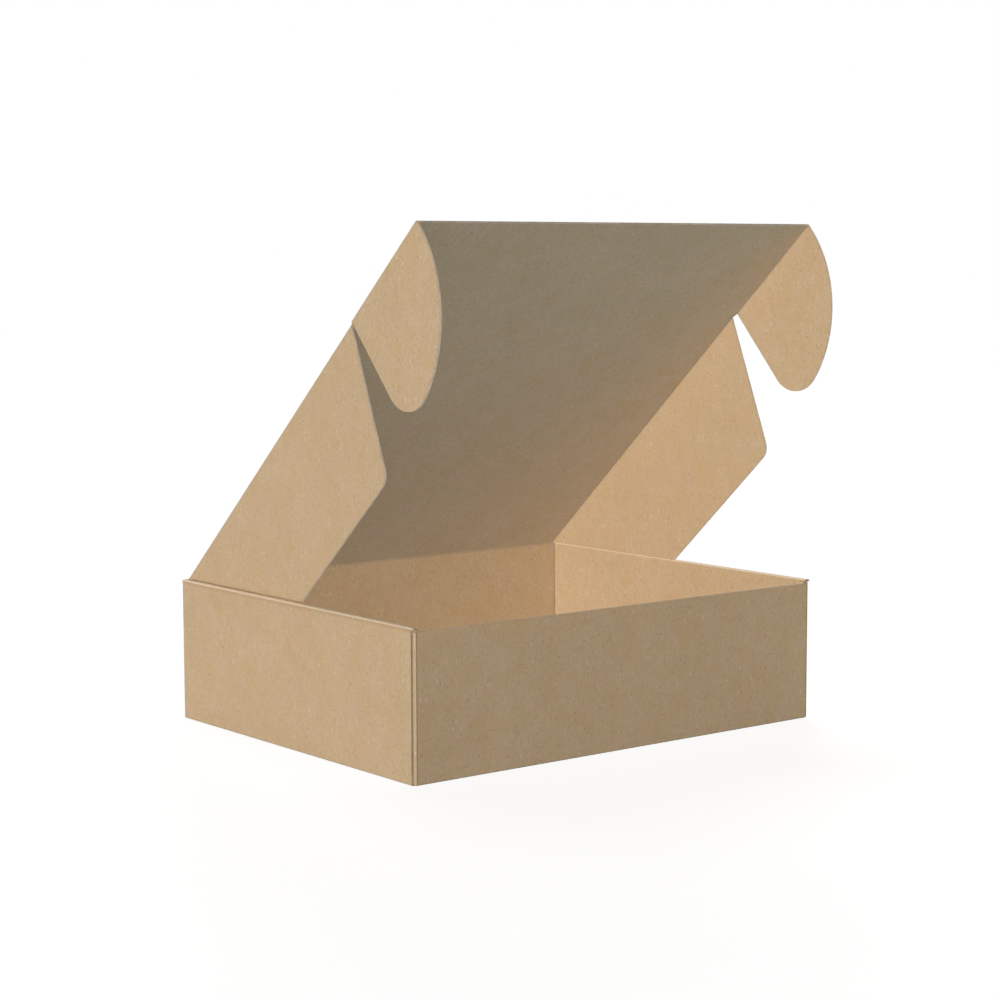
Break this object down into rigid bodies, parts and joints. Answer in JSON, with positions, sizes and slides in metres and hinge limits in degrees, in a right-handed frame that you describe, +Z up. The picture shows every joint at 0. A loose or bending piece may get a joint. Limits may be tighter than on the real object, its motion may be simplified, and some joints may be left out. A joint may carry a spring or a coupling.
{
  "type": "corrugated mailer box",
  "caption": "Folding mailer box of corrugated board with rolled-over side walls, a hinged lid, side flaps, a tuck flap and rounded lock ears.",
  "frame": {"origin": "middle of the tray's flat underside", "axes": "+Z up, -Y towards the front wall, +Y towards the back wall that carries the lid, +X to the right"},
  "size_m": [0.35, 0.3053, 0.3514],
  "materials": {
    "kraft_board": "matte"
  },
  "bodies": {
    "tray": {"tray": "kraft_board"},
    "lid": {"lid": "kraft_board"},
    "tuck_flap": {"tuck_flap": "kraft_board"},
    "left_side_flap": {"left_side_flap": "kraft_board"},
    "right_side_flap": {"right_side_flap": "kraft_board"},
    "left_ear": {"left_ear": "kraft_board"},
    "right_ear": {"right_ear": "kraft_board"}
  },
  "joints": [
    {"name": "lid_hinge", "type": "hinge", "parent": "tray", "child": "lid", "pos_m": [0, 0.141, 0.1], "axis": [-1, 0, 0], "range_deg": [-41.8, 138.2]},
    {"name": "tuck_flap_crease", "type": "hinge", "parent": "lid", "child": "tuck_flap", "pos_m": [0, -0.06788, 0.28676], "axis": [-1, 0, 0], "range_deg": [-90, 0]},
    {"name": "left_side_flap_crease", "type": "hinge", "parent": "lid", "child": "left_side_flap", "pos_m": [-0.1685, 0.141, 0.1], "axis": [0, 0.7455, -0.6665], "range_deg": [0, 90]},
    {"name": "right_side_flap_crease", "type": "hinge", "parent": "lid", "child": "right_side_flap", "pos_m": [0.1685, 0.141, 0.1], "axis": [0, -0.7455, 0.6665], "range_deg": [0, 90]},
    {"name": "left_ear_crease", "type": "hinge", "parent": "tuck_flap", "child": "left_ear", "pos_m": [-0.17015, -0.06788, 0.28676], "axis": [0, 0.7455, -0.6665], "range_deg": [0, 90]},
    {"name": "right_ear_crease", "type": "hinge", "parent": "tuck_flap", "child": "right_ear", "pos_m": [0.17015, -0.06788, 0.28676], "axis": [0, -0.7455, 0.6665], "range_deg": [0, 90]}
  ]
}
